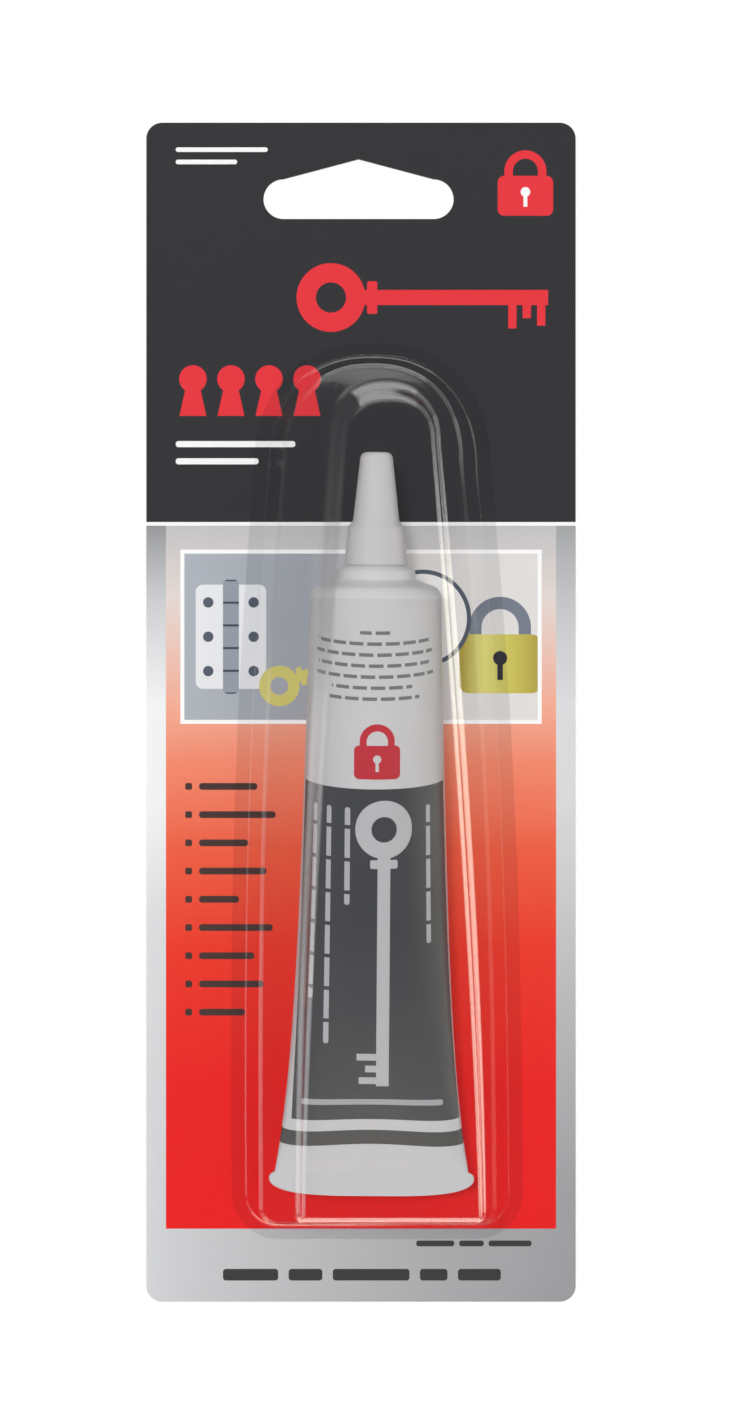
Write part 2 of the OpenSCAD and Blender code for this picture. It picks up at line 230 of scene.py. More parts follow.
class Level:
    """A number that varies over a surface. Arithmetic on it adds Math nodes."""

    def __init__(self, finish, socket):
        self.finish = finish
        self.socket = socket

    def maths(self, operation, *others, clamp=False):
        node = self.finish.node(
            "ShaderNodeMath", {"operation": operation, "use_clamp": clamp},
            dict(enumerate([self, *others])))
        return Level(self.finish, node.outputs[0])

    def __add__(self, other):
        return self.maths("ADD", other)

    def __sub__(self, other):
        return self.maths("SUBTRACT", other)

    def __mul__(self, other):
        return self.maths("MULTIPLY", other)

    def __truediv__(self, other):
        return self.maths("DIVIDE", other)

    def __rsub__(self, other):
        return (self * -1) + other

    __radd__ = __add__
    __rmul__ = __mul__

    def __abs__(self):
        return self.maths("ABSOLUTE")

    def below(self, other):
        return self.maths("MINIMUM", other)

    def above(self, other):
        return self.maths("MAXIMUM", other)

    def power(self, exponent):
        return self.maths("POWER", exponent)

    def root(self):
        return self.maths("SQRT")

    def over(self, other):
        """One where this is greater than the other value, else zero."""
        return self.maths("GREATER_THAN", other)

    def under(self, other):
        """One where this is less than the other value, else zero."""
        return self.maths("LESS_THAN", other)

    def wrap(self, period):
        """What is left over a whole number of periods, counted from below."""
        return self.maths("FLOORED_MODULO", period)

    def held(self):
        """The value held between zero and one."""
        return self.maths("ADD", 0.0, clamp=True)


# A printed edge fades over this width
PRINT_EDGE = 0.05 * MM

# The sleeve's UV map counts its print in decimetres
MAP_UNIT = 0.1


class Finish:
    """A material, or the world, and the nodes that give it its look."""

    def __init__(self, name, kind="Material"):
        blocks = bpy.data.worlds if kind == "World" else bpy.data.materials
        self.made = blocks.new(name)
        self.made.use_nodes = True
        self.tree = self.made.node_tree
        self.tree.nodes.clear()
        self.output = self.tree.nodes.new("ShaderNodeOutput" + kind)

    def node(self, kind, settings=None, inputs=None):
        """Adds a node, applies its settings, then fills or links its inputs."""
        node = self.tree.nodes.new(kind)
        for key, value in (settings or {}).items():
            setattr(node, key, value)
        for key, value in (inputs or {}).items():
            self.feed(node.inputs[key], value)
        return node

    def feed(self, socket, value):
        """Links a Level or a socket to an input, or sets the input to a value."""
        if isinstance(value, Level):
            value = value.socket
        if isinstance(value, bpy.types.NodeSocket):
            self.tree.links.new(value, socket)
        elif hasattr(value, "__len__") and len(value) == 3 and socket.type == "RGBA":
            socket.default_value = (*value, 1.0)
        else:
            socket.default_value = value

    def places(self):
        """The three Object coordinates, in metres of the part's own frame."""
        coords = self.node("ShaderNodeTexCoord").outputs["Object"]
        split = self.node("ShaderNodeSeparateXYZ", inputs={0: coords})
        return coords, [Level(self, socket) for socket in split.outputs]

    def map_places(self, name):
        """The two coordinates of a UV map, in metres of print."""
        coords = self.node("ShaderNodeUVMap", {"uv_map": name}).outputs[0]
        split = self.node("ShaderNodeSeparateXYZ", inputs={0: coords})
        return [Level(self, socket) * MAP_UNIT for socket in split.outputs[:2]]

    def mix(self, share, first, second):
        """A colour between two colours."""
        node = self.node("ShaderNodeMix", {"data_type": "RGBA"},
                         {0: share, 6: first, 7: second})
        return node.outputs[2]

    def ramp(self, share, stops):
        """A colour that runs through stops of (place, colour), which start at 0 and end at 1."""
        node = self.node("ShaderNodeValToRGB", inputs={0: share})
        band = node.color_ramp
        for index, (place, colour) in enumerate([stops[0], stops[-1], *stops[1:-1]]):
            stop = band.elements[index] if index < 2 else band.elements.new(place)
            stop.position = place
            stop.color = (*colour, 1.0)
        return node.outputs[0]

    def noise(self, coords, scale, detail=2.0, rough=0.5):
        node = self.node("ShaderNodeTexNoise", inputs={
            "Vector": coords, "Scale": scale, "Detail": detail, "Roughness": rough})
        return Level(self, node.outputs[0])

    def bump(self, height, strength, distance):
        node = self.node("ShaderNodeBump", inputs={
            "Height": height, "Strength": strength, "Distance": distance})
        return node.outputs[0]

    def soft(self, distance):
        """One inside an edge and zero outside it, from a signed distance to the edge."""
        return distance.maths("MULTIPLY_ADD", -1 / PRINT_EDGE, 0.5, clamp=True)

    def principled(self, **inputs):
        names = {key.replace("_", " "): value for key, value in inputs.items()}
        return self.node("ShaderNodeBsdfPrincipled", inputs=names).outputs[0]

    def done(self, shader):
        self.tree.links.new(shader, self.output.inputs["Surface"])
        return self.made


# Print

class Artwork:
    """Print on a plane: shapes are shares from zero to one, inked one over another."""

    def __init__(self, finish, x, z, colour=None):
        self.finish, self.x, self.z, self.colour = finish, x, z, colour

    def ink(self, shape, colour):
        """Lays a colour over the print where a shape is."""
        self.colour = self.finish.mix(shape, self.colour, colour)

    def moved(self, middle, angle=0.0):
        """The bare plane counted from a point, and turned where asked."""
        x, z = self.x - middle[0], self.z - middle[1]
        if angle:
            c, s = math.cos(angle), math.sin(angle)
            x, z = x * c + z * s, z * c - x * s
        return Artwork(self.finish, x, z)

    def box(self, middle, size, corner=0.0):
        """A rectangle: the larger of the distances past its sides, rounded by a radius."""
        across = abs(self.x - middle[0]) - (size[0] / 2 - corner)
        along = abs(self.z - middle[1]) - (size[1] / 2 - corner)
        if corner == 0:
            return self.finish.soft(across.above(along))
        across, along = across.above(0.0), along.above(0.0)
        return self.finish.soft((across * across + along * along).root() - corner)

    def bar(self, left, level, length, height, corner):
        """A rounded bar that starts at its left end."""
        return self.box((left + length / 2, level), (length, height), corner)

    def away(self, middle):
        """Distance from a point."""
        across, along = self.x - middle[0], self.z - middle[1]
        return (across * across + along * along).root()

    def disc(self, middle, radius):
        return self.finish.soft(self.away(middle) - radius)

    def hoop(self, middle, radius, width):
        """A ring: how far the distance from its middle differs from its radius."""
        return self.finish.soft(abs(self.away(middle) - radius) - width / 2)


def key_shape(art, length, bow):
    """A plain key: a ring for its bow, a straight blade, a collar and three square teeth."""
    ring = art.hoop((-length / 2 + bow, 0), bow * 0.72, bow * 0.56)
    start, end = -length / 2 + 1.85 * bow, length / 2
    blade = art.box(((start + end) / 2, 0), (end - start, bow * 0.44))
    collar = art.box((start + bow * 0.35, 0), (bow * 0.3, bow * 0.95), bow * 0.06)
    shape = ring.above(blade).above(collar)
    for place, depth in ((0.0, 0.62), (0.42, 0.4), (0.84, 0.7)):
        tooth = art.box((end - bow * (0.2 + place), -bow * (0.1 + depth / 2)),
                        (bow * 0.24, bow * (depth + 0.2)))
        shape = shape.above(tooth)
    return shape


def padlock_shape(art, middle, size):
    """A plain padlock: its round-cornered body, its half ring on two legs, its keyhole."""
    x, z = middle
    body = art.box((x, z - 0.22 * size), (0.86 * size, 0.62 * size), 0.1 * size)
    bar, reach, shoulder = 0.13 * size, 0.26 * size, z + 0.16 * size
    arch = art.hoop((x, shoulder), reach, bar) * (art.z - shoulder).over(0.0)
    legs = art.finish.soft((abs(abs(art.x - x) - reach) - bar / 2).above(
        abs(art.z - (z + 0.05 * size)) - 0.12 * size))
    hole = art.disc((x, z - 0.16 * size), 0.075 * size)
    slot = art.box((x, z - 0.29 * size), (0.06 * size, 0.2 * size))
    return body, arch.above(legs), hole.above(slot)


def keyhole_shape(art, middle, size):
    """A keyhole: a disc over a slot that widens downwards."""
    x, z = middle
    disc = art.disc((x, z + 0.2 * size), 0.26 * size)
    half = (art.z - (z + 0.2 * size)) * -0.22 + 0.1 * size
    slot = art.finish.soft((abs(art.x - x) - half).above(
        abs(art.z - (z - 0.15 * size)) - 0.35 * size))
    return disc.above(slot)


# Meshes

def signed_volume(points, faces):
    """Six times the volume: the sum over triangles of a . (b x c)."""
    a, b, c = (points[faces[:, k]] for k in (0, 1, 2))
    total = np.einsum("ij,ij->i", a, np.cross(b, c)).sum()
    if faces.shape[1] == 4:
        d = points[faces[:, 3]]
        total += np.einsum("ij,ij->i", a, np.cross(c, d)).sum()
    return total


def grid_piece(name, points, maps=None, closed_rows=False, sharp=math.radians(50)):
    """A closed piece from a grid of points (rows, columns, 3).

    Columns always close on themselves. Rows close too where asked, and otherwise the first
    and last rows have shrunk to a point. Maps are (rows, columns + 1, 2) print coordinates.
    """
    rows, columns = points.shape[:2]
    flat = points.reshape(-1, 3)
    i, j = np.meshgrid(np.arange(rows if closed_rows else rows - 1), np.arange(columns),
                       indexing="ij")
    after_i, after_j = (i + 1) % rows, (j + 1) % columns
    faces = np.stack([i * columns + j, i * columns + after_j,
                      after_i * columns + after_j, after_i * columns + j], -1).reshape(-1, 4)
    spots = None
    if maps is not None:
        spots = np.stack([maps[i, j], maps[i, j + 1], maps[i + 1, j + 1], maps[i + 1, j]], 2)
        spots = spots.reshape(-1, 4, 2)
    if signed_volume(flat, faces) < 0:
        faces = faces[:, ::-1]
        spots = None if spots is None else spots[:, ::-1]
    mesh = bpy.data.meshes.new(name)
    mesh.from_pydata(flat.tolist(), [], faces.tolist())
    if spots is not None:
        layer = mesh.uv_layers.new(name="print")
        layer.data.foreach_set("uv", spots.reshape(-1).astype(np.float32))
    work = bmesh.new()
    work.from_mesh(mesh)
    bmesh.ops.remove_doubles(work, verts=work.verts, dist=1e-7)
    bmesh.ops.dissolve_degenerate(work, edges=work.edges, dist=1e-8)
    work.to_mesh(mesh)
    work.free()
    mesh.shade_smooth()
    mesh.set_sharp_from_angle(angle=sharp)
    piece = bpy.data.objects.new(name, mesh)
    bpy.context.scene.collection.objects.link(piece)
    return piece


def signed_power(values, exponent):
    """Raises the size of each value to a power and keeps its sign."""
    return np.sign(values) * np.abs(values) ** exponent


def soften(corners, radius, steps=5):
    """Rounds the corners of a row of points, or of rows of points.

    At each corner the row leaves its line one radius early and joins the next line one
    radius late, along a parabola through both: the mean of two means of three points.
    The radius is one for all corners, or one for each.
    """
    before, here, after = corners[:-2], corners[1:-1], corners[2:]
    radius = np.reshape(radius, np.shape(radius) + (1,) * (corners.ndim - 1))

    def towards(other):
        gap = np.linalg.norm(other - here, axis=-1, keepdims=True)
        return here + (other - here) / np.maximum(gap, 1e-9) * np.minimum(radius, 0.45 * gap)

    start, end = towards(before), towards(after)
    t = np.linspace(0, 1, steps).reshape((1, steps) + (1,) * (corners.ndim - 1))
    s, h, e = (part[:, None] for part in (start, here, end))
    curve = (1 - t) ** 2 * s + 2 * t * (1 - t) * h + t ** 2 * e
    curve = curve.reshape((-1,) + corners.shape[1:])
    return np.concatenate([corners[:1], curve, corners[-1:]])


def lay_on_tube(points):
    """Takes points from the tube's own frame to where it leans in the pack."""
    c, s = math.cos(tube_lean), math.sin(tube_lean)
    lean = np.array([[1, 0, 0], [0, c, -s], [0, s, c]])
    c, s = math.cos(tube_tip), math.sin(tube_tip)
    tip = np.array([[c, 0, s], [0, 1, 0], [-s, 0, c]])
    return points @ (tip @ lean).T + tube_start


def lathe(profile, sides):
    """Turns a profile of (radius, level) once around the tube's axis."""
    angle = np.linspace(0, 2 * math.pi, sides, endpoint=False)
    radius, level = profile[:, :1], profile[:, 1:]
    points = np.stack([radius * np.cos(angle), radius * np.sin(angle),
                       level + 0 * angle], -1)
    return lay_on_tube(points)


def dress(piece, finish, body, slot, *nodes):
    """Gives a piece its finish and body, and lets it stand for CAD nodes. Its slot is not used.
    """
    piece.data.materials.append(finish)
    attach(piece, body)
    if nodes:
        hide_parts(*nodes)
    return piece


def refinish(name, finish):
    """Gives a piece that comes from the CAD its finish."""
    materials = bpy.data.objects[name].data.materials
    materials.clear()
    materials.append(finish)


# The card

def card_finish(sizes):
    """Print on the card's front, and bare board on its back and edge."""
    finish = Finish("printed_board")
    coords, (x, y, z) = finish.places()
    width = card_high[0] - card_low[0]
    header_foot = card_high[2] - sizes.header_height
    silver_top = header_foot - sizes.rule_height

    # Silver field: light down the left, darker at the top, the right and the foot
    down = ((z - silver_top) / (card_low[2] - silver_top)).held()
    left = finish.ramp(down, [
        (0.0, srgb(150, 151, 153)), (0.1, srgb(206, 207, 209)), (0.23, srgb(243, 244, 245)),
        (0.36, srgb(243, 244, 244)), (0.5, srgb(221, 222, 224)), (0.7, srgb(215, 216, 218)),
        (1.0, srgb(211, 212, 214))])
    right = finish.ramp(down, [
        (0.0, srgb(166, 167, 169)), (0.1, srgb(197, 198, 200)), (0.23, srgb(219, 220, 222)),
        (0.36, srgb(216, 217, 219)), (0.6, srgb(186, 187, 189)), (0.85, srgb(158, 159, 161)),
        (1.0, srgb(153, 154, 156))])
    across = ((x - card_low[0]) / width).held()
    art = Artwork(finish, x, z, finish.mix(across.power(0.65), left, right))

    # Red panel: it comes out of the silver at its top and deepens downwards
    panel_foot = card_low[2] + sizes.panel_foot
    panel_height = silver_top - panel_foot
    panel_down = ((z - silver_top) / -panel_height).held()
    red = finish.ramp(panel_down, [
        (0.0, srgb(196, 196, 198)), (0.105, srgb(228, 216, 210)), (0.25, srgb(243, 175, 152)),
        (0.335, srgb(242, 140, 112)), (0.46, srgb(237, 97, 70)), (0.6, srgb(234, 62, 48)),
        (0.8, srgb(232, 40, 40)), (1.0, tuple(sizes.red_colour))])
    art.ink(art.box((card_middle_x, (silver_top + panel_foot) / 2),
                    (width - 2 * sizes.panel_side, panel_height)), red)
    print_list(art, silver_top)
    print_foot(art)
    print_picture(art, sizes, header_foot)
    art.ink(finish.soft((z - silver_top) * -1), srgb(250, 250, 250))
    art.ink(finish.soft((z - header_foot) * -1), tuple(sizes.header_colour))
    print_header(art, tuple(sizes.mark_colour))

    # Ink lies a hair unevenly on coated board, and bare board shows pressed fibres
    mottle = finish.noise(coords, 900.0, 3.0)
    inked = finish.mix(mottle * 0.03, art.colour, (0.0, 0.0, 0.0))
    fibre = finish.noise(coords, 2600.0, 4.0, 0.7)
    bare = finish.mix(fibre * 0.5, tuple(sizes.board_colour),
                      tuple(0.72 * c for c in sizes.board_colour))
    front = (y - (card_front_y + 0.02 * MM)).under(0.0)
    height = mottle * front * 0.3 + fibre * (1 - front)
    return finish.done(finish.principled(
        Base_Color=finish.mix(front, bare, inked), IOR=1.45, Specular_IOR_Level=0.12,
        Roughness=front * (mottle * 0.08 - 0.42) + 0.82,
        Normal=finish.bump(height, 0.12, 0.02 * MM)))


def print_list(art, silver_top):
    """Short dark bars down the panel's left side, where a list would stand."""
    left, first_drop, apart = card_low[0] + 6.2 * MM, 42.5, 4.6
    for row, length in enumerate((9.5, 12.5, 8.0, 11.0, 6.5, 12.0, 9.0, 10.5, 7.5)):
        level = silver_top - (first_drop + apart * row) * MM
        bar = art.bar(left + 2.4 * MM, level, length * MM, 1.1 * MM, 0.5 * MM)
        dot = art.box((left + 0.7 * MM, level), (1.1 * MM, 1.1 * MM), 0.3 * MM)
        art.ink(bar.above(dot), srgb(74, 58, 56))


def print_foot(art):
    """Dark bars on the silver below the panel: a thin short row and a bold row.

    A row is its level, its height, its corners' radius, and each bar's start and length.
    """
    thin = (9.5, 0.95, 0.4, ((44.0, 6.2), (51.0, 4.0), (55.8, 7.0)))
    bold = (4.4, 1.9, 0.5, ((12.5, 9.0), (23.2, 5.5), (30.4, 12.5), (44.6, 4.5), (50.8, 7.0)))
    for level, height, corner, bars in (thin, bold):
        for start, length in bars:
            bar = art.bar(card_low[0] + start * MM, card_low[2] + level * MM, length * MM,
                          height * MM, corner * MM)
            art.ink(bar, srgb(62, 62, 64))


def print_picture(art, sizes, header_foot):
    """A framed picture of plain locksmith's goods: hinge, door rose, padlock and key."""
    finish, height = art.finish, sizes.picture_height
    width = card_high[0] - card_low[0] - 2 * sizes.picture_side
    x, z = card_middle_x, header_foot - sizes.picture_drop - height / 2
    share = ((art.x - (x - width / 2)) / width).held()
    view = Artwork(finish, art.x, art.z, finish.ramp(share, [
        (0.0, srgb(176, 182, 190)), (0.35, srgb(166, 170, 178)), (0.6, srgb(222, 218, 216)),
        (1.0, srgb(226, 224, 222))]))

    # A hinge on the left: two pale leaves, a dark barrel line and six screw holes
    hinge_x = x - 0.36 * width
    view.ink(view.box((hinge_x, z), (11.5 * MM, 17 * MM), 1.2 * MM), srgb(232, 233, 236))
    barrel = view.box((hinge_x, z), (2.6 * MM, 18.6 * MM), 0.8 * MM)
    view.ink(barrel, srgb(150, 157, 168))
    knuckle = finish.soft(abs((art.z - z).wrap(3.7 * MM) - 1.85 * MM) - 0.18 * MM)
    view.ink(barrel * knuckle, srgb(70, 76, 88))
    leaves = Artwork(finish, abs(art.x - hinge_x), art.z)
    for level in (-5.6, 0.0, 5.6):
        view.ink(leaves.disc((3.7 * MM, z + level * MM), 0.85 * MM), srgb(88, 96, 110))

    # A brass padlock on the right, and a pale door rose and a brass key beside the tube
    lock = (x + 0.385 * width, z - 1.0 * MM)
    body, shackle, hole = padlock_shape(view, lock, 15.5 * MM)
    shine = ((art.x - (lock[0] - 6.5 * MM)) / (13 * MM)).held()
    view.ink(shackle, srgb(120, 128, 140))
    view.ink(body, finish.ramp(shine, [
        (0.0, srgb(168, 150, 62)), (0.3, srgb(226, 220, 128)), (0.62, srgb(205, 196, 96)),
        (1.0, srgb(176, 160, 74))]))
    view.ink(hole, srgb(52, 52, 58))
    rose, rose_radius = (x + 0.17 * width, z + 3 * MM), 7.6 * MM
    view.ink(view.disc(rose, rose_radius), srgb(240, 238, 236))
    view.ink(view.hoop(rose, rose_radius, 0.7 * MM), srgb(86, 94, 108))
    view.ink(keyhole_shape(view, rose, 7 * MM), srgb(64, 68, 78))
    key = view.moved((x - 0.13 * width, z - 5.5 * MM), math.radians(24))
    view.ink(key_shape(key, 19 * MM, 3.3 * MM), srgb(214, 206, 118))

    inside = 2 * sizes.picture_border
    art.ink(art.box((x, z), (width, height)), srgb(252, 252, 252))
    art.ink(art.box((x, z), (width - inside, height - inside)), view.colour)


def print_header(art, red):
    """Red and white shapes on the header: a long key, keyholes, a padlock and thin bars."""
    left, right, top = card_low[0], card_high[0], card_high[2]
    white = srgb(248, 248, 248)
    key = art.moved((right - 25 * MM, top - 28.5 * MM))
    art.ink(key_shape(key, 41 * MM, 5.6 * MM), red)
    for count in range(4):
        spot = (left + (7.6 + 6.2 * count) * MM, top - 43.5 * MM)
        art.ink(keyhole_shape(art, spot, 8.6 * MM), red)
    body, shackle, hole = padlock_shape(art, (right - 8.2 * MM, top - 9.6 * MM), 10.5 * MM)
    art.ink(body.above(shackle), red)
    art.ink(hole, white)
    for drop, length, height, corner in (
            (4.4, 15.0, 0.75, 0.35), (6.4, 10.0, 0.75, 0.35), (52.4, 19.5, 1.0, 0.45),
            (55.2, 13.5, 1.0, 0.45)):
        bar = art.bar(left + 4.8 * MM, top - drop * MM, length * MM, height * MM, corner * MM)
        art.ink(bar, white)


class TUBEPACK_OT_card(bpy.types.Operator):
    """Finish the backing card"""
    bl_idname = "tubepack.card"
    bl_label = "Backing card"

    def execute(self, context):
        refinish("backing_card", card_finish(context.scene.tubepack.card))
        return {"FINISHED"}


# The clear shell

# The film's underside keeps this gap from the card's face
SEAL_GAP = 0.03 * MM

# Steps along the parts of an outline and over a bend, and powers of its arch and sides
ARCH_STEPS, SIDE_STEPS, CORNER_STEPS, FOOT_STEPS, BEND_STEPS = 72, 30, 12, 8, 8
ARCH_POWER, FOOT_POWER, RIB_POWER, FACE_POWER = 2.3, 2.5, 1.75, 1.34

# An outline drawn inside another keeps at least this share of its corners' radius
CORNER_SHARE = 0.3


class Outline(NamedTuple):
    """A tombstone outline on the card: an arch, sides that widen downwards, a round foot."""
    top_x: float
    foot_x: float
    top_half: float
    foot_half: float
    top: float
    foot: float
    arch: float
    corner: float
    power: float

    def inset(self, d):
        """The same outline drawn in by a distance all round."""
        return self._replace(
            top_half=self.top_half - d, foot_half=self.foot_half - d, top=self.top - d,
            foot=self.foot + d, arch=self.arch - d,
            corner=max(self.corner - d, CORNER_SHARE * self.corner))

    def rise(self):
        """The sine of the arch's angle at each point of its ring, and zero below the arch."""
        a = np.linspace(0, math.pi, ARCH_STEPS + 1)
        below = 2 * SIDE_STEPS - 1 + 2 * CORNER_STEPS + FOOT_STEPS
        return np.concatenate([np.sin(a), np.zeros(below)])

    def ring(self, depth):
        """Its points at a depth in front of the card, anticlockwise from the right.

        The arch is a superellipse. Along a side the half width falls short of its foot
        value by a power of what is left of the side. Quarter circles round the corners.
        """
        spring, bend = self.top - self.arch, self.foot + self.corner
        a = np.linspace(0, math.pi, ARCH_STEPS + 1)
        arch_x = self.top_x + self.top_half * signed_power(np.cos(a), 2 / ARCH_POWER)
        arch_z = spring + self.arch * np.abs(np.sin(a)) ** (2 / ARCH_POWER)
        s = np.linspace(0, 1, SIDE_STEPS + 1)[1:]
        middle = self.top_x + (self.foot_x - self.top_x) * s
        half = self.foot_half - (self.foot_half - self.top_half) * (1 - s) ** self.power
        side_z = spring + (bend - spring) * s
        b = np.linspace(0, math.pi / 2, CORNER_STEPS + 1)[1:]
        corner_x = self.foot_half - self.corner
        left_x = self.foot_x - corner_x - self.corner * np.cos(b)
        right_x = self.foot_x + corner_x + self.corner * np.sin(b)
        left_z, right_z = bend - self.corner * np.sin(b), bend - self.corner * np.cos(b)
        foot_x = self.foot_x + corner_x * np.linspace(-1, 1, FOOT_STEPS + 1)[1:]
        x = np.concatenate([arch_x, middle - half, left_x, foot_x, right_x,
                            (middle + half)[-2::-1]])
        z = np.concatenate([arch_z, side_z, left_z, self.foot + 0 * foot_x, right_z,
                            side_z[-2::-1]])
        return np.stack([x, card_front_y - depth + 0 * x, z], -1)


def shell_rings(sizes):
    """Rings of the film: its inner skin down to the card, its flange, its outer skin."""
    film, lean, level = sizes.film, sizes.lean, sizes.step
    foot_x = shell_middle_x
    foot_half = (shell_high[0] - shell_low[0]) / 2 - sizes.flange
    top, bottom = shell_high[2] - sizes.flange, shell_low[2] + sizes.flange
    front = card_front_y - shell_low[1]
    rib_x, rib_foot_x = foot_x + sizes.rib_shift_top, foot_x + sizes.rib_shift_bottom
    rib_top, rib_foot = top - sizes.rib_drop, bottom + lean + sizes.rib_rise
    foot = Outline(foot_x - sizes.slant, foot_x, sizes.top_width / 2, foot_half, top, bottom,
                   sizes.arch, sizes.corner, FOOT_POWER)
    rib = Outline(rib_x, rib_foot_x, sizes.rib_top / 2, sizes.rib_bottom / 2, rib_top,
                  rib_foot, sizes.rib_arch, sizes.rib_corner, RIB_POWER)
    face = Outline(rib_x + sizes.face_shift_top, rib_foot_x + sizes.face_shift_bottom,
                   sizes.rib_top / 2 - sizes.side_lean,
                   sizes.rib_bottom / 2 - sizes.corner_lean, rib_top - sizes.top_lean,
                   rib_foot + sizes.foot_lean, sizes.rib_arch - sizes.top_lean,
                   CORNER_SHARE * sizes.rib_corner, FACE_POWER)
    flange, step = foot.inset(-sizes.flange), foot.inset(lean)
    # The face is flat within this outline, past the reach of its bend
    flat = face.inset(1.2 * sizes.bend)
    # The step falls back towards the top of its arch
    fall = sizes.step_slope * np.maximum(0, step.rise()) ** 3

    def centre(ring):
        return np.broadcast_to(ring.mean(0), ring.shape)[None]

    rib_bend, edge_bend = sizes.bend, sizes.edge_bend
    inner = np.stack([
        flat.ring(front - film), face.inset(film).ring(front - film),
        rib.inset(film).ring(level - film), step.inset(film).ring(level - film - fall),
        foot.inset(film).ring(SEAL_GAP)])
    outer = np.stack([
        flange.ring(film), foot.ring(film), step.ring(level - fall), rib.ring(level),
        face.ring(front), flat.ring(front)])
    return np.concatenate([
        centre(inner[0]), soften(inner, (rib_bend, rib_bend, edge_bend), BEND_STEPS),
        flange.ring(SEAL_GAP)[None],
        soften(outer, (edge_bend, edge_bend, rib_bend, rib_bend), BEND_STEPS),
        centre(outer[-1])])


def film_finish(sizes):
    """Clear film: it lets light straight through, and glosses more where it bends."""
    film = Finish("clear_film")
    coords, (x, y, z) = film.places()
    normal = film.bump(film.noise(coords, 30.0, 1.0), 0.03, 0.15 * MM)
    clear = film.node("ShaderNodeBsdfTransparent", inputs={"Color": tuple(sizes.tint)})
    gloss = film.node("ShaderNodeBsdfGlossy", inputs={
        "Color": WHITE, "Roughness": 0.13, "Normal": normal})
    slant = film.node("ShaderNodeLayerWeight", inputs={"Blend": 0.35})
    facing = Level(film, slant.outputs["Facing"])
    # Each mask runs from zero to one: past the step, left of the middle, up the arch
    rib = ((card_front_y - sizes.step - y) / (0.2 * MM) + 0.5).held()
    left = ((shell_middle_x - x) / (10 * MM) + 0.5).held()
    arch = ((z - (shell_high[2] - 25 * MM)) / (10 * MM)).held()
    # The rib's bends gloss most, but less round its arch, where they cross the dark header.
    # The other bends gloss on the left and round the arch alone, and flat film hardly at all
    bends = facing.power(1.5) * (1 - facing).power(4.0) * 4.0
    outer = left.above(arch) * 0.55
    share = bends * (rib * (1 - arch * 0.55) + (1 - rib) * outer) + 0.015
    mixed = film.node("ShaderNodeMixShader", inputs={
        0: share, 1: clear.outputs[0], 2: gloss.outputs[0]})
    return film.done(mixed.outputs[0])


class TUBEPACK_OT_shell(bpy.types.Operator):
    """Form the clear shell"""
    bl_idname = "tubepack.shell"
    bl_label = "Clear shell"

    def execute(self, context):
        sizes = context.scene.tubepack.shell
        piece = grid_piece("clear_shell", shell_rings(sizes), sharp=math.radians(80))
        dress(piece, film_finish(sizes), "shell", "clear_film", "blister")
        return {"FINISHED"}


# The sleeve

# The share of the sleeve's length where its section begins to fill out to the seal's
SQUARE_START = 0.8

# A superellipse of power 2 is an ellipse, and one of power 5 is nearly a rectangle
ROUND_POWER, SEAL_POWER = 2.0, 5.0


def sleeve_half_width(s, sizes):
    """Half the sleeve's width: its radius, growing slowly and then fast to the seal's."""
    flat_half = sizes.seal_width / 2 - sizes.ear
    slow = 0.58
    return body_radius + (flat_half - body_radius) * (slow * s ** 1.2 + (1 - slow) * s ** 6)


def sleeve_half_depth(s, sizes):
    """Half the sleeve's depth: its radius, falling to half the seal's thickness."""
    return body_radius * (1 - s ** 2.8) ** 0.85 + sizes.seal_thickness / 2 * s


def sleeve_power(s):
    """The power of the sleeve's section: round at first, then rising to the seal's."""
    share = np.maximum(0, (s - SQUARE_START) / (1 - SQUARE_START))
    return ROUND_POWER + (SEAL_POWER - ROUND_POWER) * share ** 2


def sleeve_section(width, depth, level, power, sides):
    """A superellipse section for each row, of half widths and half depths."""
    angle = np.linspace(0, 2 * math.pi, sides, endpoint=False) + math.pi / 2
    width, depth, level, power = (
        np.broadcast_to(value, np.shape(width))[:, None]
        for value in (width, depth, level, power))
    x = signed_power(np.cos(angle), 2 / power)
    y = signed_power(np.sin(angle), 2 / power)
    return np.stack([width * x, depth * y, level + 0 * x], -1)


